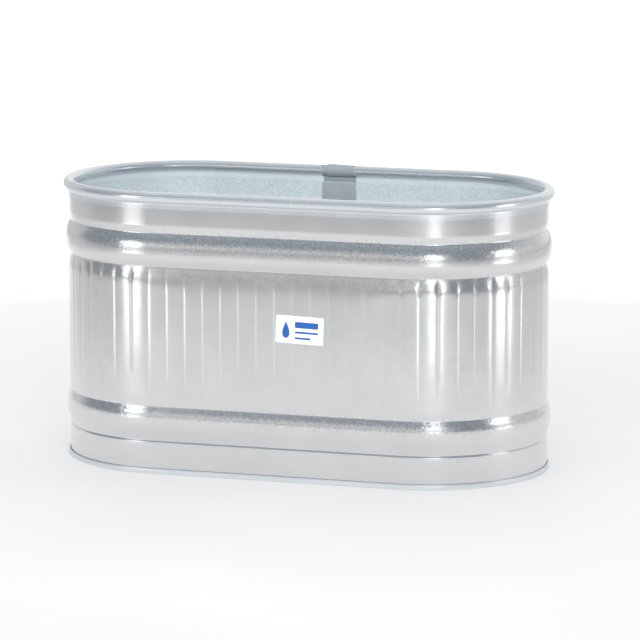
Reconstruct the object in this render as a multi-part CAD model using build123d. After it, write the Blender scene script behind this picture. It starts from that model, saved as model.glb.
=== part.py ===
from build123d import *

import math
import os

# Livestock water trough: a galvanised round-end stock tank, nominally 4 ft long and 2 ft wide.
# Millimetres. The origin is on the ground under the middle of the tank, +X runs along its
# length, +Y points to the back (the side with the drain) and +Z is up.
#
# Sections are drawn as (offset, height): the offset is measured outward from the plain outer
# face of the wall, the height upward from the ground.

# ---------------------------------------------------------------- overall size
LENGTH = 1220.0
WIDTH = 610.0
HEIGHT = 685.0
SHEET = 1.0                     # thickness of the wall, the bottom and the rim strip
RIM_OD = 27.0
WALL_FACE = (WIDTH - RIM_OD + SHEET) / 2        # half width, and end radius, of the plain wall
HALF_STRAIGHT = (LENGTH - WIDTH) / 2
PERIMETER = 4 * HALF_STRAIGHT + 2 * math.pi * WALL_FACE

# ---------------------------------------------------------------- side wall
WALL_TOP = 655.0                # upper edge, gripped between the two lips of the rim
LOWER_BENDS = [                 # (offset, height, bend radius) between the seam and the flutes
    (0.0, 77.0, 24.0),
    (-4.0, 85.0, 5.0),
    (6.5, 113.5, 78.0),
    (6.5, 145.0, 58.0),
    (-3.6, 163.5, 5.0),
    (0.0, 182.5, 60.0),
]
UPPER_BENDS = [                 # (offset, height, bend radius) between the flutes and the rim
    (0.0, 479.0, 60.0),
    (-4.4, 502.5, 5.0),
    (8.0, 519.5, 50.0),
    (8.0, 564.0, 68.0),
    (-4.2, 584.5, 5.0),
    (0.0, 611.0, 60.0),
]
FLUTE_COUNT = 68
FLUTE_DEPTH = 3.0
FLUTE_HALF_WIDTH = 5.0
FLUTE_BOTTOM = 208.0
FLUTE_TOP = 471.0
FLUTE_PITCH = PERIMETER / FLUTE_COUNT
FIRST_FLUTE_X = 6.4             # where one flute stands on the front wall

# ---------------------------------------------------------------- bottom seam (double lock)
SEAM_HEIGHT = 13.0
SEAM_BEND = 0.9                 # bend radius on the middle of the sheet
HOOK_OFFSET = 2.7               # middle of the wall's upturned hook
HOOK_TOP = 10.0
WALL_FOOT = 2.0                 # middle of the wall's lowest fold
TUCK_OFFSET = 1.1               # middle of the pan's end, tucked behind the hook
TUCK_BOTTOM = 3.6
COVER_OFFSET = 4.9              # middle of the pan's outer cover
UPSTAND_OFFSET = -1.6           # middle of the pan's upstand inside the wall

# ---------------------------------------------------------------- bottom pan
PAN_TOP = 15.0
PAN_CORNER = 3.0
BEAD_CENTRE = -52.0             # stiffening bead pressed upward all round the pan
BEAD_FOOT = 11.0
BEAD_CROWN = 4.5
BEAD_RISE = 5.0
BEAD_BEND = 4.0
PAN_RING_EDGE = -75.0           # offset at which the flat middle of the pan begins
RIB_COUNT = 3                   # cross ribs pressed upward in the flat middle
RIB_SPACING = 250.0
RIB_LENGTH = 330.0
RIB_WIDTH = 26.0
RIB_RISE = 4.0

# ---------------------------------------------------------------- sealing compound in the corner
SEALANT_LEG = 7.0
SEALANT_GAP = 0.05

# ---------------------------------------------------------------- rim
RIM_AXIS_HEIGHT = HEIGHT - RIM_OD / 2
RIM_AXIS_OFFSET = -SHEET / 2
RIM_LIP_BOTTOM = 643.5
RIM_LIP_GAP = 0.05              # between each lip and the wall
RIM_NECK_RADIUS = 2.5
RIM_TUBE_OD = 24.4
RIM_TUBE_WALL = 2.0
SPIGOT_LENGTH = 120.0
SPIGOT_WALL = 2.5
SPIGOT_GAP = 0.1
SLEEVE_START = -35.0            # x of the thick, abrupt end of the joint sleeve
SLEEVE_END = 62.0
SLEEVE_BULGE = 2.5
SLEEVE_EDGE = 0.5
SLEEVE_GAP = 0.05
SLEEVE_SLOT = 6.4               # opening underneath for the lips

# ---------------------------------------------------------------- strap over the wall's joint
STRAP_LEFT = -49.6
STRAP_RIGHT = 39.0
STRAP_THICKNESS = 0.8
STRAP_GAP = 0.08
STRAP_BOTTOM = 26.0
STRAP_TOP = 641.5

# ---------------------------------------------------------------- drain on the back wall
DRAIN_X = -180.0
DRAIN_Z = 48.0
DRAIN_HOLE_RADIUS = 17.0
GASKET_RADIUS = 22.0
GASKET_THICKNESS = 2.0
SPUD_FLANGE_RADIUS = 24.0
SPUD_FLANGE_THICKNESS = 2.5
SPUD_NECK_RADIUS = 16.6
SPUD_LENGTH = 24.0              # neck, from under the flange inward
SPUD_BORE_RADIUS = 13.2
SPUD_EDGE = 0.8
LOCKNUT_FLATS = 44.0
LOCKNUT_THICKNESS = 8.0
LOCKNUT_CLEARANCE = 0.05
LOCKNUT_CHAMFER = 1.6
PLUG_CLEARANCE = 0.05
PLUG_LENGTH = 14.5              # shank, from under the flange inward
PLUG_FLANGE_RADIUS = 17.0
PLUG_FLANGE_THICKNESS = 2.0
PLUG_HEX_FLATS = 26.0
PLUG_HEX_HEIGHT = 4.5
PLUG_CHAMFER = 1.2
PLUG_CORE_RADIUS = 9.5
PLUG_CORE_DEPTH = 9.0
WASHER_OUTER_RADIUS = 17.0
WASHER_INNER_RADIUS = 13.6
WASHER_THICKNESS = 1.5

# ---------------------------------------------------------------- label on the front wall
LABEL_WIDTH = 118.0
LABEL_HEIGHT = 66.0
LABEL_THICKNESS = 0.3
LABEL_CORNER = 4.0
LABEL_GAP = 0.1
LABEL_X = 72.8
LABEL_Z = 369.6
LABEL_TILT = -1.75              # degrees, seen from the front


# ================================================================ helpers
def at(offset, height):
    """Section point from an offset and a height."""
    return (WALL_FACE + offset, height)


def bent_sheet(points, radii, thickness=SHEET):
    """Section of a sheet bent along (offset, height) points; one radius for each inner point."""
    middle = FilletPolyline(*[at(*point) for point in points], radius=radii)
    return trace(middle, thickness)


def round_the_tank(section):
    """Sweep a section round the oval plan: two straight runs and two half turns."""
    start = Plane(origin=(HALF_STRAIGHT, 0, 0), x_dir=(0, -1, 0), z_dir=(-1, 0, 0))
    placed = start * section
    end_axis = Axis((HALF_STRAIGHT, 0, 0), (0, 0, 1))
    half = extrude(placed, amount=LENGTH - WIDTH) + revolve(placed, end_axis, 180)
    return half + half.rotate(Axis.Z, 180)


def along_the_back(section, left, right):
    """Extrude a section along the straight back wall between two x positions."""
    start = Plane(origin=(left, 0, 0), x_dir=(0, 1, 0), z_dir=(1, 0, 0))
    return extrude(start * section, amount=right - left)


def oval(half_width):
    """Face with the plan shape of the tank and the given half width."""
    return SlotCenterToCenter(LENGTH - WIDTH, 2 * half_width)


def plan_point(run, offset):
    """Plan point at a distance along the wall face, counted from the left end of the front."""
    run = run % PERIMETER
    straight, turn = 2 * HALF_STRAIGHT, math.pi * WALL_FACE
    if run <= straight:
        return (run - HALF_STRAIGHT, -WALL_FACE - offset)
    if run < straight + turn:
        angle = (run - straight) / WALL_FACE - math.pi / 2
        centre, reach = HALF_STRAIGHT, WALL_FACE + offset
        return (centre + reach * math.cos(angle), reach * math.sin(angle))
    if run <= 2 * straight + turn:
        return (HALF_STRAIGHT - (run - straight - turn), WALL_FACE + offset)
    angle = (run - 2 * straight - turn) / WALL_FACE + math.pi / 2
    reach = WALL_FACE + offset
    return (-HALF_STRAIGHT + reach * math.cos(angle), reach * math.sin(angle))


def back_run(x):
    """Distance along the wall face of a point on the straight back wall."""
    return 3 * HALF_STRAIGHT + math.pi * WALL_FACE - x


def plan_breaks():
    """Distances along the wall at which straight runs and half turns meet."""
    straight, turn = 2 * HALF_STRAIGHT, math.pi * WALL_FACE
    return [0.0, straight, straight + turn, 2 * straight + turn, PERIMETER]


def panel_edges(start, end, offset):
    """Edges of the wall face between two flutes, split where straight and round parts meet."""
    shift = PERIMETER * math.floor(start / PERIMETER)
    breaks = [b + shift + turn for turn in (0.0, PERIMETER) for b in plan_breaks()]
    stops = [start] + sorted({b for b in breaks if start < b < end}) + [end]
    edges = []
    for a, b in zip(stops, stops[1:]):
        middle = (a + b) / 2
        ends = plan_point(a, offset), plan_point(b, offset)
        piece = (middle % PERIMETER)
        straight = piece < plan_breaks()[1] or plan_breaks()[2] < piece < plan_breaks()[3]
        if straight:
            edges.append(Line(*ends).edge())
        else:
            edges.append(ThreePointArc(ends[0], plan_point(middle, offset), ends[1]).edge())
    return edges


def flute_runs():
    """Distances along the wall face at which the flutes stand."""
    first = HALF_STRAIGHT + FIRST_FLUTE_X
    return [first + FLUTE_PITCH * index for index in range(FLUTE_COUNT)]


def fluted_wire(offset):
    """Closed plan wire of the fluted wall at an offset from its face."""
    edges = []
    for run in flute_runs():
        valley = plan_point(run, offset - FLUTE_DEPTH)
        left = plan_point(run - FLUTE_HALF_WIDTH, offset)
        right = plan_point(run + FLUTE_HALF_WIDTH, offset)
        edges += [Line(left, valley).edge(), Line(valley, right).edge()]
        edges += panel_edges(run + FLUTE_HALF_WIDTH, run + FLUTE_PITCH - FLUTE_HALF_WIDTH, offset)
    return Wire(edges)


def slab(face, bottom, top):
    """Extrude a plan face between two heights."""
    return extrude(Pos(0, 0, bottom) * face, amount=top - bottom)


def flute_groove(run):
    """Solid that cuts one flute into the outside of the wall; it stands a little proud of it."""
    proud = SHEET
    half_width = FLUTE_HALF_WIDTH * (FLUTE_DEPTH + proud) / FLUTE_DEPTH
    valley = plan_point(run, -FLUTE_DEPTH)
    left, right = plan_point(run - half_width, proud), plan_point(run + half_width, proud)
    return slab(make_face(Polyline(left, valley, right, close=True)), FLUTE_BOTTOM, FLUTE_TOP)


def flute_offset(run):
    """Offset of the fluted wall face at a distance along the wall."""
    nearest = min(abs(run - flute) for flute in flute_runs())
    return -FLUTE_DEPTH * max(0.0, 1 - nearest / FLUTE_HALF_WIDTH)


def fluted_back_strip(outer, inner, left, right, plain_outer=False):
    """Plan face of a strip that follows the flutes of the back wall between two x positions."""
    start, end = back_run(right), back_run(left)
    stops = {start, end}
    for run in flute_runs():
        corners = (run - FLUTE_HALF_WIDTH, run, run + FLUTE_HALF_WIDTH)
        stops |= {corner for corner in corners if start < corner < end}
    stops = sorted(stops)
    depth = [0.0 if plain_outer else flute_offset(run) for run in stops]
    outside = [plan_point(run, outer + d) for run, d in zip(stops, depth)]
    inside = [plan_point(run, inner + flute_offset(run)) for run in reversed(stops)]
    return make_face(Polyline(*outside, *inside, close=True))


def drain_ring(outer_radius, inner_radius, inner_face, thickness):
    """Ring on the drain's axis; inner_face is its y on the tank's side."""
    back = Plane(origin=(DRAIN_X, inner_face, DRAIN_Z), x_dir=(-1, 0, 0), z_dir=(0, 1, 0))
    ring = Circle(outer_radius) - Circle(inner_radius) if inner_radius else Circle(outer_radius)
    return extrude(back * ring, amount=thickness)


# ================================================================ side wall
def make_side_wall():
    middle = -SHEET / 2
    foot = [(HOOK_OFFSET, HOOK_TOP), (HOOK_OFFSET, WALL_FOOT), (middle, WALL_FOOT)]
    lower = foot + [(o + middle, z) for o, z, _ in LOWER_BENDS] + [(middle, FLUTE_BOTTOM - SHEET)]
    lower_radii = [SEAM_BEND, SEAM_BEND] + [r for _, _, r in LOWER_BENDS]
    upper = [(middle, FLUTE_TOP + SHEET)] + [(o + middle, z) for o, z, _ in UPPER_BENDS]
    upper += [(middle, WALL_TOP)]
    upper_radii = [r for _, _, r in UPPER_BENDS]

    band = Face(oval(WALL_FACE).wire(), [fluted_wire(-SHEET)])
    wall = slab(band, FLUTE_BOTTOM - SHEET, FLUTE_TOP + SHEET)
    wall -= [flute_groove(run) for run in flute_runs()]
    wall += round_the_tank(bent_sheet(lower, lower_radii))
    wall += round_the_tank(bent_sheet(upper, upper_radii))
    hole = drain_ring(DRAIN_HOLE_RADIUS, 0, WALL_FACE - 2 * SHEET, 3 * SHEET)
    return wall - hole


# ================================================================ bottom pan
def make_bottom_pan():
    plate = PAN_TOP - SHEET / 2
    under = SHEET / 2
    cover_top = SEAM_HEIGHT - SHEET / 2
    bead = [
        (BEAD_CENTRE + BEAD_FOOT, plate),
        (BEAD_CENTRE + BEAD_CROWN, plate + BEAD_RISE),
        (BEAD_CENTRE - BEAD_CROWN, plate + BEAD_RISE),
        (BEAD_CENTRE - BEAD_FOOT, plate),
    ]
    points = [(TUCK_OFFSET, TUCK_BOTTOM), (TUCK_OFFSET, cover_top), (COVER_OFFSET, cover_top)]
    points += [(COVER_OFFSET, under), (UPSTAND_OFFSET, under), (UPSTAND_OFFSET, plate)]
    points += bead + [(PAN_RING_EDGE, plate)]
    radii = [SEAM_BEND] * 4 + [PAN_CORNER] + [BEAD_BEND] * 4
    pan = round_the_tank(bent_sheet(points, radii))
    pan += slab(oval(WALL_FACE + PAN_RING_EDGE), PAN_TOP - SHEET, PAN_TOP)

    for index in range(RIB_COUNT):
        x = (index - (RIB_COUNT - 1) / 2) * RIB_SPACING
        foot = Pos(x, 0) * SlotOverall(RIB_LENGTH, RIB_WIDTH, rotation=90)
        crown_inset = 2 * RIB_RISE
        crown = Pos(x, 0) * SlotOverall(RIB_LENGTH - crown_inset, RIB_WIDTH - crown_inset, rotation=90)
        inner_inset = 2 * SHEET * math.tan(math.pi / 8)
        low = Pos(x, 0) * SlotOverall(RIB_LENGTH - inner_inset, RIB_WIDTH - inner_inset, rotation=90)
        roof = Pos(x, 0) * SlotOverall(
            RIB_LENGTH - crown_inset - inner_inset, RIB_WIDTH - crown_inset - inner_inset, rotation=90)
        outer = loft([Pos(0, 0, PAN_TOP) * foot.face(), Pos(0, 0, PAN_TOP + RIB_RISE) * crown.face()])
        inner = loft([
            Pos(0, 0, PAN_TOP - SHEET) * low.face(),
            Pos(0, 0, PAN_TOP - SHEET + RIB_RISE) * roof.face(),
        ])
        pan = pan + outer - inner
    return pan


def make_bottom_seam_sealant():
    inner_face = -SHEET - SEALANT_GAP
    floor = PAN_TOP + SEALANT_GAP
    leg = SEALANT_LEG
    cove = make_face([
        Line(at(inner_face, floor), at(inner_face, floor + leg)).edge(),
        RadiusArc(at(inner_face, floor + leg), at(inner_face - leg, floor), 2 * leg).edge(),
        Line(at(inner_face - leg, floor), at(inner_face, floor)).edge(),
    ])
    return round_the_tank(cove)


# ================================================================ rim
def keyhole(radius, lip):
    """Edges of a rim section: a circle of the given radius opening into two parallel lips.

    The lips stand at plus and minus lip from the rim's axis and are rounded into the circle.
    """
    neck = RIM_NECK_RADIUS - (radius - (RIM_OD - SHEET) / 2)
    centre_x = lip + neck
    centre_z = -math.sqrt((radius + neck) ** 2 - centre_x ** 2)
    touch = radius / (radius + neck)
    bend = (centre_x * touch, centre_z * touch)
    half_way = (math.atan2(centre_z, centre_x) + 2 * math.pi) / 2
    middle = (centre_x + neck * math.cos(half_way), centre_z + neck * math.sin(half_way))
    end = (lip, RIM_LIP_BOTTOM - RIM_AXIS_HEIGHT)

    def place(point, side=1):
        return at(RIM_AXIS_OFFSET + side * point[0], RIM_AXIS_HEIGHT + point[1])

    return [
        Line(place(end), place((lip, centre_z))).edge(),
        ThreePointArc(place((lip, centre_z)), place(middle), place(bend)).edge(),
        ThreePointArc(place(bend), place((0, radius)), place(bend, -1)).edge(),
        ThreePointArc(place(bend, -1), place(middle, -1), place((lip, centre_z), -1)).edge(),
        Line(place((lip, centre_z), -1), place(end, -1)).edge(),
    ]


def make_rim_cap():
    inner_lip = SHEET / 2 + RIM_LIP_GAP
    outer = keyhole(RIM_OD / 2, inner_lip + SHEET)
    inner = keyhole(RIM_OD / 2 - SHEET, inner_lip)
    bottoms = [Line(outer[0] @ 0, inner[0] @ 0).edge(), Line(inner[-1] @ 1, outer[-1] @ 1).edge()]
    return round_the_tank(make_face([*outer, *inner, *bottoms]))


def make_rim_tube():
    centre = at(RIM_AXIS_OFFSET, RIM_AXIS_HEIGHT)
    ring = Circle(RIM_TUBE_OD / 2) - Circle(RIM_TUBE_OD / 2 - RIM_TUBE_WALL)
    return round_the_tank(Pos(*centre) * ring)


def make_rim_tube_spigot():
    radius = RIM_TUBE_OD / 2 - RIM_TUBE_WALL - SPIGOT_GAP
    ring = Pos(*at(RIM_AXIS_OFFSET, RIM_AXIS_HEIGHT)) * (Circle(radius) - Circle(radius - SPIGOT_WALL))
    return along_the_back(ring, -SPIGOT_LENGTH / 2, SPIGOT_LENGTH / 2)


def make_rim_joint_sleeve():
    length = SLEEVE_END - SLEEVE_START
    bore = RIM_OD / 2 + SLEEVE_GAP
    cone = Cone(RIM_OD / 2 + SLEEVE_BULGE, bore + SLEEVE_EDGE, length)
    slot = Pos(-RIM_OD / 2, 0) * Box(RIM_OD, SLEEVE_SLOT, length)
    body = cone - Cylinder(bore, length) - slot
    y = WALL_FACE + RIM_AXIS_OFFSET
    middle = (SLEEVE_START + SLEEVE_END) / 2
    axis = Plane(origin=(middle, y, RIM_AXIS_HEIGHT), x_dir=(0, 0, 1), z_dir=(1, 0, 0))
    return axis * body


# ================================================================ strap over the wall's joint
def strap_section(points, radii):
    """Section of the strap: the inner skin of a thicker sheet bent like the wall."""
    thick = SHEET + 2 * (STRAP_GAP + STRAP_THICKNESS)
    skins = bent_sheet(points, radii, thick) - bent_sheet(points, radii, SHEET + 2 * STRAP_GAP)
    return skins.faces().sort_by(Axis.X)[0]


def make_seam_strap():
    middle = -SHEET / 2
    outer, inner = -SHEET - STRAP_GAP, -SHEET - STRAP_GAP - STRAP_THICKNESS
    low, high = FLUTE_BOTTOM - SHEET - STRAP_GAP, FLUTE_TOP + SHEET + STRAP_GAP
    lower = [(middle, STRAP_BOTTOM)] + [(o + middle, z) for o, z, _ in LOWER_BENDS]
    lower += [(middle, low)]
    upper = [(middle, high)] + [(o + middle, z) for o, z, _ in UPPER_BENDS]
    upper += [(middle, STRAP_TOP)]
    strap = along_the_back(strap_section(lower, [r for _, _, r in LOWER_BENDS]), STRAP_LEFT, STRAP_RIGHT)
    strap += along_the_back(strap_section(upper, [r for _, _, r in UPPER_BENDS]), STRAP_LEFT, STRAP_RIGHT)
    band = fluted_back_strip(outer, inner, STRAP_LEFT, STRAP_RIGHT)
    closing = fluted_back_strip(outer, inner, STRAP_LEFT, STRAP_RIGHT, plain_outer=True)
    strap += slab(band, low - STRAP_THICKNESS, high + STRAP_THICKNESS)
    strap += slab(closing, low - STRAP_THICKNESS, low)
    strap += slab(closing, high, high + STRAP_THICKNESS)
    return strap


# ================================================================ drain
def drain_frame(y, thickness):
    """Location on the drain's axis of a solid centred on its own thickness."""
    middle = (DRAIN_X, y + thickness / 2, DRAIN_Z)
    return Plane(origin=middle, x_dir=(-1, 0, 0), z_dir=(0, 1, 0)).location


GASKET_OUTER_FACE = WALL_FACE + GASKET_THICKNESS
SPUD_FACE = GASKET_OUTER_FACE + SPUD_FLANGE_THICKNESS
PLUG_SEAT = SPUD_FACE + WASHER_THICKNESS
INNER_GASKET_FACE = WALL_FACE - SHEET - GASKET_THICKNESS


def make_drain_spud():
    neck = drain_ring(SPUD_NECK_RADIUS, 0, GASKET_OUTER_FACE - SPUD_LENGTH, SPUD_LENGTH)
    neck = chamfer(neck.edges().filter_by(GeomType.CIRCLE).sort_by(Axis.Y)[0], SPUD_EDGE)
    flange = drain_ring(SPUD_FLANGE_RADIUS, 0, GASKET_OUTER_FACE, SPUD_FLANGE_THICKNESS)
    flange = chamfer(flange.edges().filter_by(GeomType.CIRCLE).sort_by(Axis.Y)[-1], SPUD_EDGE)
    bore = drain_ring(SPUD_BORE_RADIUS, 0, GASKET_OUTER_FACE - SPUD_LENGTH - SHEET,
                      SPUD_LENGTH + SPUD_FLANGE_THICKNESS + 2 * SHEET)
    return neck + flange - bore


def make_drain_locknut():
    hexagon = RegularPolygon(LOCKNUT_FLATS / 2, 6, major_radius=False)
    nut = extrude(hexagon, amount=LOCKNUT_THICKNESS / 2, both=True)
    corner = LOCKNUT_FLATS / math.sqrt(3)
    limit = Cylinder(corner, LOCKNUT_THICKNESS)
    limit = chamfer(limit.edges().filter_by(GeomType.CIRCLE).sort_by(Axis.Z)[0], LOCKNUT_CHAMFER)
    nut = (nut & limit) - Cylinder(SPUD_NECK_RADIUS + LOCKNUT_CLEARANCE, LOCKNUT_THICKNESS)
    return drain_frame(INNER_GASKET_FACE - LOCKNUT_THICKNESS, LOCKNUT_THICKNESS) * nut


def make_drain_outer_gasket():
    return drain_ring(GASKET_RADIUS, DRAIN_HOLE_RADIUS, WALL_FACE, GASKET_THICKNESS)


def make_drain_inner_gasket():
    return drain_ring(GASKET_RADIUS, DRAIN_HOLE_RADIUS, INNER_GASKET_FACE, GASKET_THICKNESS)


def make_drain_plug_washer():
    return drain_ring(WASHER_OUTER_RADIUS, WASHER_INNER_RADIUS, SPUD_FACE, WASHER_THICKNESS)


def make_drain_plug():
    radius = SPUD_BORE_RADIUS - PLUG_CLEARANCE
    shank = drain_ring(radius, 0, PLUG_SEAT - PLUG_LENGTH, PLUG_LENGTH)
    shank = chamfer(shank.edges().filter_by(GeomType.CIRCLE).sort_by(Axis.Y)[0], PLUG_CHAMFER)
    flange = drain_ring(PLUG_FLANGE_RADIUS, 0, PLUG_SEAT, PLUG_FLANGE_THICKNESS)
    hexagon = RegularPolygon(PLUG_HEX_FLATS / 2, 6, major_radius=False)
    head = extrude(hexagon, amount=PLUG_HEX_HEIGHT / 2, both=True)
    corner = PLUG_HEX_FLATS / math.sqrt(3)
    limit = Cylinder(corner, PLUG_HEX_HEIGHT)
    limit = chamfer(limit.edges().filter_by(GeomType.CIRCLE).sort_by(Axis.Z)[-1], PLUG_CHAMFER)
    head = drain_frame(PLUG_SEAT + PLUG_FLANGE_THICKNESS, PLUG_HEX_HEIGHT) * (head & limit)
    core = drain_ring(PLUG_CORE_RADIUS, 0, PLUG_SEAT - PLUG_LENGTH - SHEET, PLUG_CORE_DEPTH + SHEET)
    return shank + flange + head - core


# ================================================================ label
def make_label():
    front = Plane(origin=(LABEL_X, -WALL_FACE - LABEL_GAP, LABEL_Z), x_dir=(1, 0, 0), z_dir=(0, -1, 0))
    outline = RectangleRounded(LABEL_WIDTH, LABEL_HEIGHT, LABEL_CORNER, rotation=LABEL_TILT)
    return extrude(front * outline, amount=LABEL_THICKNESS)


# ================================================================ export
PARTS = {
    "side_wall": make_side_wall,
    "bottom_pan": make_bottom_pan,
    "bottom_seam_sealant": make_bottom_seam_sealant,
    "rim_cap": make_rim_cap,
    "rim_tube": make_rim_tube,
    "rim_tube_spigot": make_rim_tube_spigot,
    "rim_joint_sleeve": make_rim_joint_sleeve,
    "seam_strap": make_seam_strap,
    "drain_spud": make_drain_spud,
    "drain_locknut": make_drain_locknut,
    "drain_outer_gasket": make_drain_outer_gasket,
    "drain_inner_gasket": make_drain_inner_gasket,
    "drain_plug": make_drain_plug,
    "drain_plug_washer": make_drain_plug_washer,
    "label": make_label,
}

os.makedirs("parts", exist_ok=True)
for name, make in PARTS.items():
    solid = make()
    box = solid.bounding_box()
    print(f"{name:22s} solids {len(solid.solids())} volume {solid.volume:12.1f} "
          f"x {box.min.X:8.2f} {box.max.X:8.2f}  y {box.min.Y:8.2f} {box.max.Y:8.2f}  "
          f"z {box.min.Z:7.2f} {box.max.Z:7.2f}")
    export_step(solid, f"parts/{name}.step")
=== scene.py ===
import math

import bmesh
import bpy
import numpy as np
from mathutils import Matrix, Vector


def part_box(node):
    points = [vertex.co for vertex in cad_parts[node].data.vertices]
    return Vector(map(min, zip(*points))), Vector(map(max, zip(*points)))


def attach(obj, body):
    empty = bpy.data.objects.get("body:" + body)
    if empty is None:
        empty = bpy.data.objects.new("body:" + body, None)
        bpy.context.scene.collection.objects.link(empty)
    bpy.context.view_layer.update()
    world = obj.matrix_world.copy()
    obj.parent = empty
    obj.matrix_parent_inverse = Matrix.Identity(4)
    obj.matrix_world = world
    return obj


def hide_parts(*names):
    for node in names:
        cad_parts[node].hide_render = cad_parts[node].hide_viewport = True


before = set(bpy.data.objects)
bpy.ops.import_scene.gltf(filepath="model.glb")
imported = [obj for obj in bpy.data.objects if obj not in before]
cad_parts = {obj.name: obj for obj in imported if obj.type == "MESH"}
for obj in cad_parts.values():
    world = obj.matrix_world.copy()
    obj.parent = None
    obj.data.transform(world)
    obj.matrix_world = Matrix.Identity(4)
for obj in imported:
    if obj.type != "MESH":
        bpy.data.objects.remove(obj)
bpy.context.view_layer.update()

# Livestock water trough. Metres, in the CAD frame: +X along the length, +Y to the back, +Z up.
MM = 0.001

# ---------------------------------------------------------------- plan, read from the CAD nodes
RIM_LOW, RIM_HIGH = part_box("rim_cap")
LABEL_LOW, LABEL_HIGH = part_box("label")
STRAP_LOW, STRAP_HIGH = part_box("seam_strap")
SLEEVE_LOW, SLEEVE_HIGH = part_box("rim_joint_sleeve")
SPUD_LOW, SPUD_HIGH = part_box("drain_spud")
NUT_LOW, NUT_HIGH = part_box("drain_locknut")
PLUG_LOW, PLUG_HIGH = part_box("drain_plug")
WASHER_LOW, WASHER_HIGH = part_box("drain_plug_washer")
GASKET_LOW, GASKET_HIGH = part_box("drain_outer_gasket")
INNER_LOW, INNER_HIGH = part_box("drain_inner_gasket")

WIDTH = round(2 * RIM_HIGH[1], 3)
LENGTH = round(2 * RIM_HIGH[0], 3)
HALF = (LENGTH - WIDTH) / 2             # half of the straight sides
RIM_R = 13.5 * MM                       # outer radius of the rolled rim
SHEET = 1.0 * MM
FACE = WIDTH / 2 - RIM_R + SHEET / 2    # plain outer face of the wall: half width and end radius
PERIMETER = 4 * HALF + 2 * math.pi * FACE
RIM_AXIS_OFF = -SHEET / 2
RIM_Z = RIM_HIGH[2] - RIM_R
LIP_Z = RIM_LOW[2]
WALL_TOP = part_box("side_wall")[1][2]
PLANE_BACK = 3 * HALF + math.pi * FACE  # run of the middle of the back wall

FLUTES = 68
PITCH = PERIMETER / FLUTES
FLUTE_RUN = HALF + 6.4 * MM             # run of one flute's valley, near the middle of the front
FLUTE_DEPTH = 0.95 * MM
VALLEY_WIDTH = 2.9 * MM                 # half width of a flute's valley

RIM_STATIONS = 900
SLEEVE_WALL, SLEEVE_GAP = 2.5 * MM, 0.04 * MM
PLATE_Z = 14.5 * MM                     # middle of the pan's plate
RIBS_X, RIB_HALF, RIB_HEIGHT = (-0.25, 0.0, 0.25), 0.152, 4 * MM
THREAD_HALF = 0.42 * MM                 # half the height of the drain's threads


# ---------------------------------------------------------------- mesh helpers
def plan_frame(run):
    """Point on the wall face and outward normal for each distance along the wall."""
    run = np.mod(np.asarray(run, float), PERIMETER)
    straight, turn = 2 * HALF, math.pi * FACE
    x, y = np.zeros_like(run), np.zeros_like(run)
    nx, ny = np.zeros_like(run), np.zeros_like(run)
    front = run < straight
    x[front], y[front] = run[front] - HALF, -FACE
    ny[front] = -1
    right = (run >= straight) & (run < straight + turn)
    angle = (run[right] - straight) / FACE - math.pi / 2
    x[right], y[right] = HALF + FACE * np.cos(angle), FACE * np.sin(angle)
    nx[right], ny[right] = np.cos(angle), np.sin(angle)
    back = (run >= straight + turn) & (run < 2 * straight + turn)
    x[back], y[back] = HALF - (run[back] - straight - turn), FACE
    ny[back] = 1
    left = run >= 2 * straight + turn
    angle = (run[left] - 2 * straight - turn) / FACE + math.pi / 2
    x[left], y[left] = -HALF + FACE * np.cos(angle), FACE * np.sin(angle)
    nx[left], ny[left] = np.cos(angle), np.sin(angle)
    return x, y, nx, ny


def place(run, off, z):
    """3-D points from distances along the wall, offsets from its face and heights."""
    run, off, z = np.broadcast_arrays(run, off, z)
    x, y, nx, ny = plan_frame(run)
    return np.stack([x + nx * off, y + ny * off, z], -1)


def point_outward(mesh):
    solid = bmesh.new()
    solid.from_mesh(mesh)
    bmesh.ops.recalc_face_normals(solid, faces=solid.faces)
    solid.to_mesh(mesh)
    solid.free()


def new_mesh(name, verts, faces, smooth=True):
    mesh = bpy.data.meshes.new(name)
    mesh.from_pydata([tuple(map(float, v)) for v in verts], [], faces)
    mesh.validate()
    if smooth:
        point_outward(mesh)
        mesh.shade_smooth()
    obj = bpy.data.objects.new(name, mesh)
    bpy.context.scene.collection.objects.link(obj)
    return obj


def grid_faces(rows, cols, wrap_rows=False, wrap_cols=False, flip=False, base=0):
    """Quads of a grid of rows by columns, wrapped where asked."""
    faces = []
    for i in range(rows if wrap_rows else rows - 1):
        a, b = base + i * cols, base + ((i + 1) % rows) * cols
        for j in range(cols if wrap_cols else cols - 1):
            k = (j + 1) % cols
            quad = (a + j, a + k, b + k, b + j)
            faces.append(quad[::-1] if flip else quad)
    return faces


def ring(name, runs, off, z):
    """Closed ring: off and z are stations by section points, the section being a closed loop."""
    verts = place(np.asarray(runs)[:, None], off, z)
    stations, points = verts.shape[:2]
    faces = grid_faces(stations, points, True, True)
    return new_mesh(name, verts.reshape(-1, 3), faces)


def sharpen(obj, degrees):
    """Keep edges steeper than an angle sharp while the rest stays smooth."""
    bpy.ops.object.select_all(action="DESELECT")
    bpy.context.view_layer.objects.active = obj
    obj.select_set(True)
    bpy.ops.object.shade_smooth_by_angle(angle=math.radians(degrees))
    obj.select_set(False)


def waves(run, count, longest, shortest, seed):
    """Smooth periodic noise along the wall, roughly between -1 and 1."""
    local = np.random.default_rng(seed)
    total = np.zeros_like(run, dtype=float)
    low, high = PERIMETER / longest, PERIMETER / shortest
    for _ in range(count):
        k = round(local.uniform(low, high))
        total += np.sin(2 * math.pi * k * run / PERIMETER + local.uniform(0, 6.28)) * local.uniform(0.5, 1)
    return total / math.sqrt(count)


def smooth_step(x, low, high):
    t = np.clip((x - low) / (high - low), 0, 1)
    return t * t * (3 - 2 * t)


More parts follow.
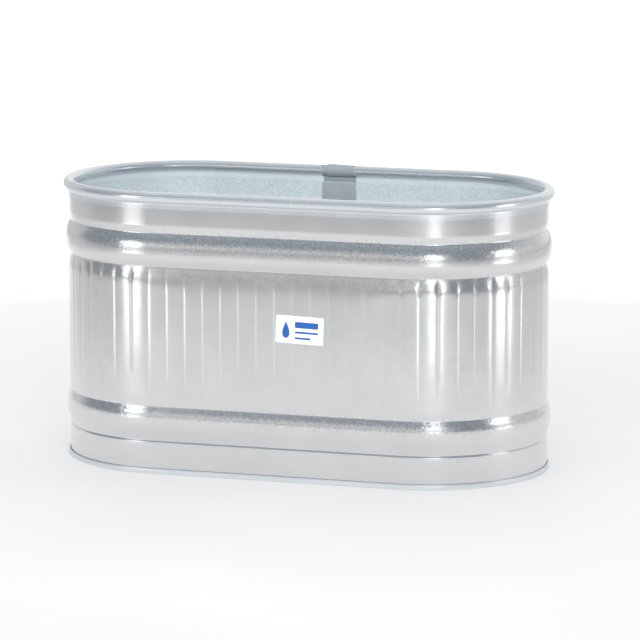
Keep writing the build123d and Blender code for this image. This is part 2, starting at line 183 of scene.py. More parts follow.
def fillets(points, arc_points):
    """Samples of a polyline whose inner corners are rounded: points are (off, z, radius) in mm."""
    out = [np.array(points[0][:2], float)]
    for before, here, after in zip(points, points[1:], points[2:]):
        p, q, s = (np.array(v[:2], float) for v in (before, here, after))
        u, v = (p - q) / np.linalg.norm(p - q), (s - q) / np.linalg.norm(s - q)
        turn = math.pi - math.acos(np.clip(u @ v, -1, 1))
        reach = here[2] * math.tan(turn / 2)
        start, end = q + u * reach, q + v * reach
        bisector = (u + v) / np.linalg.norm(u + v)
        centre = q + bisector * math.hypot(reach, here[2])
        a, b = start - centre, end - centre
        n = arc_points if here[2] > 10 else max(4, arc_points - 2)
        for t in np.linspace(0, 1, n):
            angle = turn * t
            out.append(centre + (math.sin(turn - angle) * a + math.sin(angle) * b) / math.sin(turn))
    out.append(np.array(points[-1][:2], float))
    return np.array(out)


# ---------------------------------------------------------------- wall surface
LOWER = [(0, 3.5, 0), (0, 77.5, 5), (-2.2, 80.6, 2.5), (6.5, 113.5, 78), (6.5, 145, 58), (-0.8, 164, 6),
         (0, 182.5, 60), (0, 200, 0)]
UPPER = [(0, 440, 0), (0, 479, 60), (-4.4, 505.5, 4), (8, 521, 46), (8, 564, 68), (-4.2, 584.5, 5),
         (0, 602, 45), (0, WALL_TOP / MM, 0)]
FADE_LOW, FADE_HIGH = 190 * MM, 262 * MM        # the flutes run out here, at the bottom
DOME_FOOT, DOME_TOP = 472 * MM, 503 * MM        # and are domed here, at the top
GROOVE_OFF = -3.7 * MM

fine = np.concatenate([fillets(LOWER, 40), fillets([(0, 440, 0), *UPPER[1:]], 40)])
BASE_Z, BASE_OFF = fine[:, 1] * MM, fine[:, 0] * MM

flute_rng = np.random.default_rng(77)
FLUTE_FADE = flute_rng.uniform(-7, 7, FLUTES) * MM
FLUTE_TOP_SHIFT = flute_rng.uniform(-2.5, 2.5, FLUTES) * MM
FLUTE_STRENGTH = flute_rng.uniform(0.85, 1.12, FLUTES)


def round_end(run):
    """1 on the round ends, falling to 0 along the straight sides."""
    x = plan_frame(run)[0]
    return smooth_step(np.abs(x), HALF - 110 * MM, HALF + 50 * MM)


def wall_offset(run, z):
    """Offset of the wall's outer surface from its plain face."""
    run, z = np.broadcast_arrays(np.asarray(run, float), np.asarray(z, float))
    base = np.interp(z, BASE_Z, BASE_OFF)
    along = np.mod((run - FLUTE_RUN) / PITCH, FLUTES)
    index = np.round(along).astype(int) % FLUTES
    panel = np.floor(along).astype(int) % FLUTES
    reach = (along - np.round(along)) * PITCH            # distance from the nearest valley
    across = 2 * (along - np.floor(along)) - 1           # -1 to 1 over the panel
    end = round_end(run)
    fade = smooth_step(z, FADE_LOW + FLUTE_FADE[index], FADE_HIGH + FLUTE_FADE[index])
    depth = (0.62 + 0.2 * end) * FLUTE_DEPTH * FLUTE_STRENGTH[index]
    valley = depth * np.exp(-np.abs(reach / VALLEY_WIDTH) ** 1.7)
    crown = (0.2 + 0.3 * end) * MM * (1 - across ** 2)
    # the crest of a panel: it swells a little, then slopes in to the groove under the bead
    foot = DOME_FOOT + FLUTE_TOP_SHIFT[panel] - (1 - end) * 32 * MM
    slope = np.clip((z - foot) / (DOME_TOP - foot), 0, 1)
    slope = slope ** (1.35 + 0.5 * (1 - end))
    swell = 0.45 * MM * end * np.exp(-((z - 462 * MM) / (20 * MM)) ** 2)
    crest = (crown * fade + swell) * (1 - slope) + GROOVE_OFF * slope
    # the valley: narrow below, and on the round ends deeper and wider towards the top
    deepen = smooth_step(z, 458 * MM, DOME_TOP)
    low = -FLUTE_DEPTH * (1 - deepen) + GROOVE_OFF * deepen
    power = 9 - 6 * smooth_step(z, 455 * MM, 484 * MM)
    pillow = low + (crest - low) * (1 - np.abs(across) ** power)
    ends = fade * (1 - smooth_step(z, 448 * MM, 482 * MM))
    plain = crest - valley * ends
    share = end * smooth_step(z, 450 * MM, 472 * MM)
    fluted = plain * (1 - share) + np.minimum(pillow, plain) * share
    blend = smooth_step(z, 501 * MM, 506 * MM)
    off = np.where(z > 440 * MM, fluted * (1 - blend) + base * blend, base + fluted)
    off = np.where((z < FADE_LOW - 8 * MM) | (z > 506 * MM), base, off)
    slow = 0.25 * MM * waves(run, 7, 0.9, 0.18, 5) + 0.12 * MM * waves(run + 0.35 * z, 9, 0.4, 0.09, 6)
    calm = smooth_step(z, 0.02, 0.07) * (1 - smooth_step(z, WALL_TOP - 40 * MM, WALL_TOP - 15 * MM))
    return off + slow * calm * 0.6


def column_runs():
    """Stations along the wall, close together at each flute's valley."""
    steps = np.array([-1.0, -0.6, -0.3, -0.14, -0.065, 0.0, 0.065, 0.14, 0.3, 0.6])
    stations = [(FLUTE_RUN + PITCH * (i + s / 2)) for i in range(FLUTES) for s in steps]
    return np.array(stations)


def build_wall():
    flute_rows = [186, 196, 206, 216, 226, 236, 248, 262, 300, 350, 400, 440, 452, 460, 466, 471, 476,
                  481, 485, 489, 493, 498, 503]
    lower = fillets(LOWER, 6)[:-1]
    upper = fillets(UPPER, 6)
    rows = [p[1] for p in lower if p[1] < 185] + flute_rows + [p[1] for p in upper if p[1] > 505]
    rows = np.unique(np.round(rows, 2))
    extra = [8, 16, 40, 62, 630, 640]
    rows = np.unique(np.concatenate([rows, extra])) * MM
    thin = fillets(LOWER, 3)[:-1]
    thin_up = fillets(UPPER, 3)
    inner = [p[1] for p in thin if 3.6 < p[1] < 185] + [200, 225, 255, 350, 440, 462, 476, 488, 497]
    inner += [p[1] for p in thin_up if p[1] > 503] + [3.5, 30]
    inner = np.unique(np.round(inner, 2)) * MM
    runs = column_runs()
    stations = len(runs)
    outer_off = wall_offset(runs[:, None], rows[None, :])
    inner_off = wall_offset(runs[:, None], inner[None, :]) - SHEET
    # the hook at the foot, hidden inside the bottom seam
    hook = np.array([(0.3, 2.7), (1.0, 2.5), (1.7, 2.5), (2.2, 3.2), (2.2, 10), (3.2, 10), (3.2, 3.0),
                     (2.5, 1.7), (1.5, 1.5), (0.0, 1.5), (-0.8, 2.1)]) * MM
    loop_off = np.concatenate([
        outer_off[:, ::-1],
        np.tile(hook[:, 0], (stations, 1)),
        inner_off], axis=1)
    loop_z = np.concatenate([rows[::-1], hook[:, 1], inner])
    obj = ring("side_wall_sheet", runs, loop_off, np.tile(loop_z, (stations, 1)))
    points = len(loop_z)
    inside = np.zeros((stations, points), int)
    inside[:, len(rows) + len(hook):] = 1
    # the inner skin takes a lighter, bluer copy of the zinc: painted light for the lit inside of the trough
    obj.data.materials.append(MATERIALS["wall"])
    obj.data.materials.append(MATERIALS["inside"])
    obj.data.polygons.foreach_set("material_index", inside.ravel())
    return obj


# ---------------------------------------------------------------- rim
def keyhole(radius, lip, count):
    """Section points of the rolled rim about its axis, from one lip's end round to the other's."""
    neck = 2.5 * MM - (radius - (RIM_R - SHEET / 2))
    cx = lip + neck
    cz = -math.sqrt((radius + neck) ** 2 - cx ** 2)
    touch = math.atan2(cz, cx)
    bend = [math.pi + touch * t for t in np.linspace(0, 1, 4)]
    side = [(cx + neck * math.cos(a), cz + neck * math.sin(a)) for a in bend]
    straight = [(lip, LIP_Z - RIM_Z + rise * MM) for rise in (0, 1, 4, 9)]
    angles = np.linspace(touch, math.pi - touch, count)[1:-1]
    circle = [(radius * math.cos(a), radius * math.sin(a)) for a in angles]
    half = straight + side
    return np.array(half + circle + [(-x, z) for x, z in reversed(half)])


def build_rim():
    outer = keyhole(RIM_R, 1.55 * MM, 34)
    inner = keyhole(RIM_R - SHEET, 0.55 * MM, 16)
    outer[0, 1] += 0.15 * MM
    section = np.concatenate([outer, inner[::-1]])
    runs = np.arange(RIM_STATIONS) * PERIMETER / RIM_STATIONS
    off = np.tile(section[:, 0], (RIM_STATIONS, 1))
    z = np.tile(section[:, 1], (RIM_STATIONS, 1))
    lip_end = LIP_Z - RIM_Z
    lip_zone = np.exp(-((z - lip_end - 2.2 * MM) / (2.6 * MM)) ** 2) * (z < -14 * MM)
    crimp = np.maximum(0, np.cos(2 * math.pi * runs / (PERIMETER / 144))) ** 3
    depth = 0.22 * MM * crimp + 0.05 * MM * waves(runs, 5, 0.3, 0.05, 11)
    off = off - np.sign(off) * lip_zone * depth[:, None]
    edge = z < lip_end + 0.6 * MM
    z = z + edge * (0.35 * MM * crimp + 0.25 * MM * waves(runs, 6, 0.5, 0.08, 12))[:, None]
    sway = 0.06 * MM * waves(runs, 5, 1.0, 0.2, 13)
    obj = ring("rim_roll", runs, off + RIM_AXIS_OFF + sway[:, None], z + RIM_Z)
    inner_lip = (section[:, 0] < 0) & (section[:, 1] < -12.5 * MM)
    # the inner lip takes the lighter, bluer copy of the zinc: a painted highlight for the bright lip line
    obj.data.materials.append(MATERIALS["rim"])
    obj.data.materials.append(MATERIALS["lip"])
    obj.data.polygons.foreach_set("material_index", np.tile(inner_lip.astype(int), len(runs)))
    return obj


def build_sleeve():
    """Swaged sleeve over the rim's joint: thick and abrupt at the left, fading to the right."""
    lo, hi = SLEEVE_LOW[0], SLEEVE_HIGH[0]
    axis_y = FACE + RIM_AXIS_OFF
    step = lo + np.array([0, 0.25, 0.7, 1.4, 2.4, 4]) * MM
    xs = np.concatenate([step, np.linspace(lo + 7 * MM, hi - 1 * MM, 30), [hi]])
    gap = math.asin(3.4 * MM / RIM_R)
    angles = np.linspace(gap - math.pi / 2, 1.5 * math.pi - gap, 60)
    t = (xs - lo) / (hi - lo)
    outer = RIM_R + SLEEVE_WALL * (1 - t) ** 1.15 + 0.22 * MM
    outer[:6] -= np.array([1.5, 0.95, 0.5, 0.2, 0.05, 0]) * MM
    outer = np.minimum(outer, RIM_R + SLEEVE_WALL)
    inner = np.full_like(xs, RIM_R + SLEEVE_GAP)
    verts = []
    for skin in (outer, inner[::-1]):
        order = xs if skin is outer else xs[::-1]
        for x, radius in zip(order, skin):
            wobble = 0.16 * MM * np.sin(3 * angles + 40 * x) * np.sin(60 * x) if skin is outer else 0
            r = np.maximum(radius + wobble, RIM_R + SLEEVE_GAP)
            verts.append(np.stack([np.full_like(angles, x), axis_y + r * np.cos(angles),
                                   RIM_Z + r * np.sin(angles)], -1))
    verts = np.array(verts)
    rows, cols = verts.shape[:2]
    faces = grid_faces(rows, cols, True, False)
    half = rows // 2
    for edge in (0, cols - 1):              # the two long edges of the slot over the rim's lips
        for i in range(half - 1):
            quad = tuple(row * cols + edge for row in (i, i + 1, rows - 2 - i, rows - 1 - i))
            faces.append(quad if edge == 0 else quad[::-1])
    return new_mesh("rim_joint_sleeve_swaged", verts.reshape(-1, 3), faces)


# ---------------------------------------------------------------- bottom
def rib_height(x, y):
    """Height of the pan's three cross ribs above its plate."""
    past_end = np.maximum(0, np.abs(y) - RIB_HALF)
    dist = np.min([np.hypot(x - centre, past_end) for centre in RIBS_X], axis=0)
    return RIB_HEIGHT * (1 - smooth_step(dist, 4.5 * MM, 12.5 * MM))


def build_pan():
    """Pan with its bead and ribs; its edge folds round the wall's hook in a double-locked seam."""
    t = SHEET / 2
    path = [(1.1, 3.6), (1.1, 11.4), (1.45, 12.2), (2.2, 12.5), (3.8, 12.5), (4.55, 12.2), (4.9, 11.4),
            (4.9, 6.5), (4.9, 1.5), (4.6, 0.8), (3.9, 0.5), (1.6, 0.5), (-0.6, 0.5), (-1.3, 0.8), (-1.6, 1.5),
            (-1.6, 11.2), (-2.0, 12.9), (-3.2, 14.1), (-5, 14.5), (-20, 14.5), (-39, 14.5), (-42, 15.1),
            (-45.5, 18.2), (-48.5, 19.3), (-52, 19.5), (-55.5, 19.3), (-58.5, 18.2), (-62, 15.1), (-65, 14.5),
            (-75, 14.5)]
    path = np.array(path) * MM
    tangent = np.gradient(path, axis=0)
    tangent /= np.linalg.norm(tangent, axis=1)[:, None]
    normal = np.stack([-tangent[:, 1], tangent[:, 0]], -1)
    low, high = path + normal * t, path - normal * t
    n = 600
    runs = np.arange(n) * PERIMETER / n
    halves = np.array([205, 190, 175, 160, 150, 140, 125, 110, 95, 80, 65, 50, 35, 20, 8]) * MM
    x, y, nx, ny = plan_frame(runs)
    verts = []
    ripple = 0.14 * MM * waves(runs, 12, 0.12, 0.02, 21)
    lift = 0.18 * MM * waves(runs, 10, 0.15, 0.03, 22)
    for skin, side in ((low, 1), (high, -1)):
        off = np.tile(skin[:, 0], (n, 1))
        z = np.tile(skin[:, 1], (n, 1))
        cover = (off > 3.2 * MM) & (z > 2 * MM)
        off = off + cover * ripple[:, None]
        z = z + (cover & (z > 10 * MM)) * lift[:, None]
        rows = [np.stack([x + nx * off[:, j], y + ny * off[:, j], z[:, j]], -1) for j in range(off.shape[1])]
        for half in halves:
            # the straight parts keep their x; the round ends shrink with the offset
            px, py = x + nx * (half - FACE), y + ny * (half - FACE)
            pz = PLATE_Z - side * t + rib_height(px, py)
            rows.append(np.stack([px, py, pz], -1))
        verts.append(np.array(rows))
    bottom, top = verts
    rows_n = bottom.shape[0]
    skin_size = rows_n * n
    flat = np.concatenate([bottom.reshape(-1, 3), top.reshape(-1, 3)])
    faces = grid_faces(rows_n, n, False, True)
    faces += grid_faces(rows_n, n, False, True, flip=True, base=skin_size)
    for k in range(n):          # the tucked edge
        after = (k + 1) % n
        faces.append((skin_size + k, skin_size + after, after, k))
    across = round(2 * HALF / PERIMETER * n)
    for base, flip in ((skin_size - n, False), (2 * skin_size - n, True)):
        # the middle strip is closed between the front and back runs, and a cap at each end
        strips = [(k, k + 1, n // 2 + across - k - 1, n // 2 + across - k) for k in range(across)]
        caps = [tuple(range(across, n // 2 + 1)), tuple(k % n for k in range(n // 2 + across, n + 1))]
        for face in strips + caps:
            moved = tuple(base + k for k in face)
            faces.append(moved[::-1] if flip else moved)
    return new_mesh("bottom_pan_sheet", flat, faces)


# ---------------------------------------------------------------- strap and label
def build_strap():
    lo, hi = STRAP_LOW[0], STRAP_HIGH[0]
    width = (hi - lo) / MM
    xs = lo + MM * np.concatenate([[0, 0.5, 1.4], np.linspace(4, width - 4, 30),
                                   [width - 1.4, width - 0.5, width]])
    foot, head = STRAP_LOW[2] / MM, STRAP_HIGH[2] / MM
    dense = np.concatenate([fillets(LOWER, 6)[:, 1], np.arange(205, 440, 15), np.arange(440, 500, 6),
                            fillets(UPPER, 6)[:, 1]])
    dense = np.unique(np.round(dense[(dense > foot + 1) & (dense < head - 1)], 1))
    zs = np.concatenate([[foot, foot + 0.6], dense, [head - 0.6, head]]) * MM
    runs = PLANE_BACK - xs
    wall = wall_offset(runs[:, None], zs[None, :]) - SHEET
    edge = np.minimum(np.minimum(xs - lo, hi - xs)[:, None],
                      np.minimum(zs - zs[0], zs[-1] - zs)[None, :]) / (1.2 * MM)
    round_off = 0.55 * MM * (1 - np.clip(edge, 0, 1)) ** 2
    outer = wall - 0.06 * MM
    inner = wall - 0.88 * MM + round_off
    front = place(runs[:, None], inner, zs[None, :])
    rear = place(runs[:, None], outer, zs[None, :])
    m, k = front.shape[:2]
    verts = np.concatenate([front.reshape(-1, 3), rear.reshape(-1, 3)])
    faces = grid_faces(m, k) + grid_faces(m, k, flip=True, base=m * k)
    corners = np.arange(m * k).reshape(m, k)
    border = np.concatenate([corners[0, :-1], corners[:-1, -1], corners[-1, :0:-1], corners[:0:-1, 0]])
    faces += [(a, b, m * k + b, m * k + a) for a, b in zip(border.tolist(), np.roll(border, -1).tolist())]
    return new_mesh("seam_strap_painted", verts, faces)


LABEL_C = ((LABEL_LOW[0] + LABEL_HIGH[0]) / 2, (LABEL_LOW[2] + LABEL_HIGH[2]) / 2)
LABEL_W, LABEL_H, LABEL_TILT = 118 * MM, 66 * MM, math.radians(-1.75)


def label_offset(x, z):
    """Height of the label above the plain wall face: it spans the flutes with shallow dips."""
    run = x + HALF
    along = (run - FLUTE_RUN) / PITCH
    reach = (along - np.round(along)) * PITCH
    dip = np.exp(-(reach / (5.5 * MM)) ** 2)
    return 0.52 * MM - 0.35 * MM * dip + 0.05 * MM * np.sin(70 * x + 110 * z)


def on_label(u, v, lift):
    """Points on the label from its own coordinates, from its middle."""
    c, s = math.cos(LABEL_TILT), math.sin(LABEL_TILT)
    x = LABEL_C[0] + u * c - v * s
    z = LABEL_C[1] + u * s + v * c
    return np.stack([x, -(FACE + label_offset(x, z) + lift), z], -1)


def rounded_outline(w, h, r):
    pts = []
    for cx, cy, start in ((w / 2 - r, h / 2 - r, 0), (-w / 2 + r, h / 2 - r, 90), (-w / 2 + r, -h / 2 + r, 180),
                          (w / 2 - r, -h / 2 + r, 270)):
        for t in np.linspace(0, 90, 6):
            a = math.radians(start + t)
            pts.append((cx + r * math.cos(a), cy + r * math.sin(a)))
    return np.array(pts)


def label_patch(name, outline, centre, thick, lift, rings=10):
    """Thin closed patch that follows the label's surface; the outline is about its own middle."""
    n = len(outline)
    scales = np.linspace(0, 1, rings + 1)[1:]
    verts, faces = [], []
    for level in (thick, 0.0):
        mid = np.array([centre])
        verts.append(on_label(mid[:, 0], mid[:, 1], lift + level))
        for s in scales:
            p = outline * s + np.array(centre)
            verts.append(on_label(p[:, 0], p[:, 1], lift + level))
    verts = np.concatenate(verts)
    block = 1 + n * rings
    for base, flip in ((0, False), (block, True)):
        for k in range(n):
            a, b = base + 1 + k, base + 1 + (k + 1) % n
            faces.append((base, b, a) if flip else (base, a, b))
            for r in range(rings - 1):
                o = n * r
                quad = (a + o, a + o + n, b + o + n, b + o)
                faces.append(quad[::-1] if flip else quad)
    last = 1 + n * (rings - 1)
    for k in range(n):
        a, b = last + k, last + (k + 1) % n
        faces.append((a, block + a, block + b, b))
    return new_mesh(name, verts, faces)


def dense_outline(outline, step):
    pts = []
    for a, b in zip(outline, np.roll(outline, -1, 0)):
        n = max(1, int(np.linalg.norm(b - a) / step))
        pts += [a + (b - a) * t for t in np.arange(n) / n]
    return np.array(pts)


def drop_outline(size):
    """Plain water drop, point up."""
    t = np.linspace(0, 2 * math.pi, 48, endpoint=False)
    x = size * 0.62 * np.sin(t) * np.sin(t / 2) ** 1.5
    y = size * np.cos(t)
    return np.stack([x, y], -1)[::-1]


# ---------------------------------------------------------------- drain
DRAIN_X = (SPUD_LOW[0] + SPUD_HIGH[0]) / 2
DRAIN_Z = (SPUD_LOW[2] + SPUD_HIGH[2]) / 2
THREAD = 1.814 * MM


def turned(name, profile, count=96, shape=None, smooth_angle=35):
    """Closed body turned about the drain's axis: profile is a closed loop of (radius, y)."""
    profile = np.array(profile, float)
    angles = np.arange(count) * 2 * math.pi / count
    r = np.tile(profile[:, 0], (count, 1))
    y = np.tile(profile[:, 1], (count, 1))
    if shape is not None:
        r = shape(r, y, angles[:, None])
    verts = np.stack([DRAIN_X + r * np.sin(angles)[:, None], y, DRAIN_Z + r * np.cos(angles)[:, None]], -1)
    obj = new_mesh(name, verts.reshape(-1, 3), grid_faces(count, len(profile), True, True))
    if profile[0, 0] == 0:                  # the loop starts and ends on the axis, so close it there
        solid = bmesh.new()
        solid.from_mesh(obj.data)
        bmesh.ops.remove_doubles(solid, verts=solid.verts, dist=1e-6)
        bmesh.ops.delete(solid, geom=[edge for edge in solid.edges if not edge.link_faces], context="EDGES")
        solid.to_mesh(obj.data)
        solid.free()
    sharpen(obj, smooth_angle)
    return obj


def hexagon(r, angles, flats):
    """Radius of a hexagon at an angle, never more than the given radius."""
    wedge = np.mod(angles + math.pi / 6, math.pi / 3) - math.pi / 6
    return np.minimum(r, flats / 2 / np.cos(wedge))


def thread_wave(y, angles):
    """Rounded triangular thread, -1 to 1, that advances along +Y as it turns right-handed."""
    phase = y / THREAD - angles / (2 * math.pi)
    tri = 2 * np.abs(2 * (phase - np.floor(phase + 0.5))) - 1
    return np.clip(tri * 1.15, -1, 1)


def build_spud():
    face, back = SPUD_HIGH[1], SPUD_LOW[1]
    under = GASKET_HIGH[1]
    flange, neck, bore = 24 * MM, 16.55 * MM, 13.25 * MM
    rows_out = np.arange(under - 0.4 * MM, back + 1.2 * MM, -0.26 * MM)
    rows_in = np.arange(back + 1.2 * MM, face - 1.2 * MM, 0.26 * MM)
    profile = [(bore + 0.4 * MM, face - 0.5 * MM), (bore + 0.9 * MM, face), (19 * MM, face),
               (flange - 0.9 * MM, face), (flange - 0.25 * MM, face - 0.25 * MM), (flange, face - 0.9 * MM),
               (flange, under + 0.3 * MM), (flange - 0.3 * MM, under), (neck, under)]
    profile += [(neck, y) for y in rows_out]
    profile += [(neck - 0.9 * MM, back + 0.1 * MM), (neck - 1.3 * MM, back), (bore + 0.7 * MM, back)]
    profile += [(bore, y) for y in rows_in]

    def shape(r, y, angles):
        wave = thread_wave(y, angles)
        out = (np.abs(r - neck) < 0.01 * MM) & (y < under - 0.3 * MM)
        inn = np.abs(r - bore) < 0.01 * MM
        run_out = smooth_step(y, back + 1.0 * MM, back + 3.0 * MM)
        r = np.where(out, r - THREAD_HALF + THREAD_HALF * wave * run_out - 0.3 * MM * (1 - run_out), r)
        return np.where(inn, bore - THREAD_HALF + THREAD_HALF * wave, r)

    return turned("drain_spud_threaded", profile, 120, shape)


def build_nut():
    near, far = NUT_HIGH[1], NUT_LOW[1]
    flats = NUT_HIGH[2] - NUT_LOW[2]
    corner = flats / math.sqrt(3)
    bore = 16.62 * MM
    profile = [(bore + 0.5 * MM, near), (corner, near), (corner, near - 0.02 * MM), (corner, (near + far) / 2),
               (corner, far + 1.7 * MM), (corner - 0.7 * MM, far + 1.0 * MM),
               (corner - 1.7 * MM, far + 0.45 * MM), (corner - 2.9 * MM, far + 0.1 * MM),
               (corner - 3.6 * MM, far), (20 * MM, far), (bore + 0.8 * MM, far), (bore, far + 0.8 * MM),
               (bore, near - 0.5 * MM)]
    return turned("drain_locknut_hex", profile, 144, lambda r, y, a: hexagon(r, a, flats), 28)


def build_gasket(name, low, high, outer, inner, bulge):
    y0, y1 = low[1], high[1]
    mid = (y0 + y1) / 2
    profile = [(inner, y1 - 0.3 * MM), (inner + 0.3 * MM, y1), (outer - 0.4 * MM, y1),
               (outer - 0.1 * MM, y1 - 0.2 * MM), (outer + bulge, mid), (outer - 0.1 * MM, y0 + 0.2 * MM),
               (outer - 0.4 * MM, y0), (inner + 0.3 * MM, y0), (inner, y0 + 0.3 * MM)]
    return turned(name, profile, 96, None, 60)


def build_plug():
    """Screw plug: hexagon, flange and threaded shank with a hollow end."""
    top, tip = PLUG_HIGH[1], PLUG_LOW[1]
    seat = WASHER_HIGH[1]
    flange_y = seat + 2 * MM
    flange, shank, core = 17 * MM, 13.15 * MM, 9.5 * MM
    flats = 26 * MM
    corner = flats / math.sqrt(3)
    rows = np.arange(seat - 1.0 * MM, tip + 0.9 * MM, -0.26 * MM)
    head = [(0, top - 0.35 * MM), (6.2 * MM, top - 0.35 * MM), (6.6 * MM, top - 0.1 * MM), (7 * MM, top),
            (corner - 2.6 * MM, top), (corner - 1.5 * MM, top - 0.25 * MM), (corner - 0.6 * MM, top - 0.8 * MM),
            (corner, top - 1.5 * MM), (corner, flange_y + 0.4 * MM), (corner + 0.35 * MM, flange_y + 0.05 * MM)]
    profile = head + [(flange - 0.7 * MM, flange_y), (flange - 0.2 * MM, flange_y - 0.2 * MM),
                      (flange, flange_y - 0.7 * MM), (flange, seat + 0.3 * MM), (flange - 0.3 * MM, seat),
                      (shank - 0.8 * MM, seat), (shank - 0.85 * MM, seat - 0.6 * MM)]
    profile += [(shank, y) for y in rows]
    profile += [(shank - 1.3 * MM, tip + 0.3 * MM), (shank - 1.7 * MM, tip), (core + 0.4 * MM, tip),
                (core, tip + 0.4 * MM), (core, tip + 8 * MM), (core - 1 * MM, tip + 9 * MM), (0, tip + 9 * MM)]

    def shape(r, y, angles):
        wave = thread_wave(y, angles)
        on_shank = np.abs(r - shank) < 0.01 * MM
        run_out = smooth_step(y, tip + 0.7 * MM, tip + 2.4 * MM)
        threaded = shank - THREAD_HALF + THREAD_HALF * wave * run_out - 0.35 * MM * (1 - run_out)
        r = np.where(on_shank, threaded, r)
        is_head = (y > flange_y + 0.3 * MM) & (r > 8 * MM)
        return np.where(is_head, hexagon(r, angles, flats), r)

    return turned("drain_plug_screw", profile, 144, shape, 30)


# ---------------------------------------------------------------- materials
def new_material(name):
    mat = bpy.data.materials.new(name)
    mat.use_nodes = True
    return mat, mat.node_tree, mat.node_tree.nodes["Principled BSDF"]


def node(tree, kind, **values):
    item = tree.nodes.new(kind)
    for key, value in values.items():
        setattr(item, key, value)
    return item


def link(tree, a, b):
    tree.links.new(a, b)


def fill(tree, socket, value):
    """Link a socket to another node's output, or set it to a constant."""
    if isinstance(value, bpy.types.NodeSocket):
        link(tree, value, socket)
    elif isinstance(value, tuple) and len(socket.default_value) == 4:
        socket.default_value = (*value, 1)
    else:
        socket.default_value = value


def object_coords(tree):
    return node(tree, "ShaderNodeTexCoord").outputs["Object"]


def split_axes(tree, coords):
    """X, Y and Z of a vector."""
    axes = node(tree, "ShaderNodeSeparateXYZ")
    link(tree, coords, axes.inputs[0])
    return axes.outputs


def noise(tree, coords, scale, detail=2.0, rough=0.5):
    item = node(tree, "ShaderNodeTexNoise")
    for key, value in (("Vector", coords), ("Scale", scale), ("Detail", detail), ("Roughness", rough)):
        fill(tree, item.inputs[key], value)
    return item


def ramp(tree, source, stops):
    """Colour for a factor; each stop is a position with a colour or a grey."""
    item = node(tree, "ShaderNodeValToRGB")
    elements = item.color_ramp.elements
    while len(elements) < len(stops):
        elements.new(0.5)
    for element, (position, color) in zip(elements, stops):
        element.position = position
        element.color = (*color, 1) if isinstance(color, tuple) else (color, color, color, 1)
    link(tree, source, item.inputs["Fac"])
    return item.outputs["Color"]


def to_range(tree, source, low, high, out_low, out_high, smooth=False):
    item = node(tree, "ShaderNodeMapRange", interpolation_type="SMOOTHSTEP" if smooth else "LINEAR")
    for key, value in zip(("From Min", "From Max", "To Min", "To Max"), (low, high, out_low, out_high)):
        item.inputs[key].default_value = value
    link(tree, source, item.inputs["Value"])
    return item.outputs["Result"]


def math_node(tree, operation, *values):
    item = node(tree, "ShaderNodeMath", operation=operation)
    for socket, value in zip(item.inputs, values):
        fill(tree, socket, value)
    return item.outputs[0]


def vector_math(tree, operation, *values, scale=None):
    item = node(tree, "ShaderNodeVectorMath", operation=operation)
    for socket, value in zip(item.inputs, values):
        fill(tree, socket, value)
    if scale is not None:
        fill(tree, item.inputs["Scale"], scale)
    is_number = operation in ("LENGTH", "DISTANCE", "DOT_PRODUCT")
    return item.outputs["Value" if is_number else "Vector"]


def mix(tree, data_type, factor, a, b):
    """Mix of two values; the sockets of a mix node depend on its type."""
    item = node(tree, "ShaderNodeMix", data_type=data_type)
    first, out = {"FLOAT": (2, 0), "VECTOR": (4, 1), "RGBA": (6, 2)}[data_type]
    for index, value in ((0, factor), (first, a), (first + 1, b)):
        fill(tree, item.inputs[index], value)
    return item.outputs[out]


def mix_color(tree, factor, a, b):
    return mix(tree, "RGBA", factor, a, b)


def mix_float(tree, factor, a, b):
    return mix(tree, "FLOAT", factor, a, b)


def add_bump(tree, bsdf, height, strength, distance):
    item = node(tree, "ShaderNodeBump")
    item.inputs["Strength"].default_value = strength
    item.inputs["Distance"].default_value = distance
    link(tree, height, item.inputs["Height"])
    link(tree, item.outputs["Normal"], bsdf.inputs["Normal"])


def formed_zone(tree, coords):
    """1 on the beads' upper faces and the flutes' domed tops, where forming opens the spangle."""
    top = 700                               # mm
    height = to_range(tree, split_axes(tree, coords)[2], 0, top * MM, 0, 1)
    stops = [(126, 0.0), (136, 1.0), (166, 1.0), (172, 0.0), (455, 0.0), (480, 0.45), (503, 0.45),
             (512, 0.0), (534, 0.0), (544, 1.0), (589, 1.0), (595, 0.0), (630, 0.15)]
    return ramp(tree, height, [(z / top, value) for z, value in stops])


def spangle_normal(tree, coords, tilt, cell):
    """Normal tilted a little, differently in each zinc crystal, and swaying gently over the sheet."""
    cells = node(tree, "ShaderNodeTexVoronoi")
    cells.inputs["Scale"].default_value = 1 / cell
    cells.inputs["Randomness"].default_value = 1.0
    warp = noise(tree, coords, 300).outputs["Color"]
    link(tree, vector_math(tree, "MULTIPLY_ADD", warp, (cell * 0.8,) * 3, coords), cells.inputs["Vector"])
    centred = vector_math(tree, "SUBTRACT", cells.outputs["Color"], (0.5,) * 3)
    grain = noise(tree, coords, 14, 1.0).outputs["Color"]
    sway = vector_math(tree, "MULTIPLY_ADD", grain, (0.03,) * 3, (-0.015,) * 3)
    tilted = vector_math(tree, "ADD", sway, vector_math(tree, "SCALE", centred, scale=tilt))
    face = node(tree, "ShaderNodeNewGeometry").outputs["Normal"]
    normal = vector_math(tree, "NORMALIZE", vector_math(tree, "ADD", face, tilted))
    return normal, cells.outputs["Color"]


def zinc_paint_mask(tree, coords, left, right, soft):
    """1 inside the painted band across the joint on the back, with a slightly ragged edge."""
    x, y, z = split_axes(tree, coords)
    wander = noise(tree, coords, 55, 3.0).outputs["Fac"]
    x = math_node(tree, "ADD", x, to_range(tree, wander, 0.3, 0.7, -0.0016, 0.0016))
    # the left edge runs obliquely over the rim
    slant = to_range(tree, z, RIM_Z - 0.02, RIM_Z + RIM_R, 0.0, -0.006)
    after = to_range(tree, math_node(tree, "SUBTRACT", x, slant), left - soft, left + soft, 0, 1, True)
    before = to_range(tree, x, right - soft, right + soft, 1, 0, True)
    back = to_range(tree, y, 0.1, 0.12, 0, 1)
    return math_node(tree, "MULTIPLY", math_node(tree, "MULTIPLY", after, before), back)


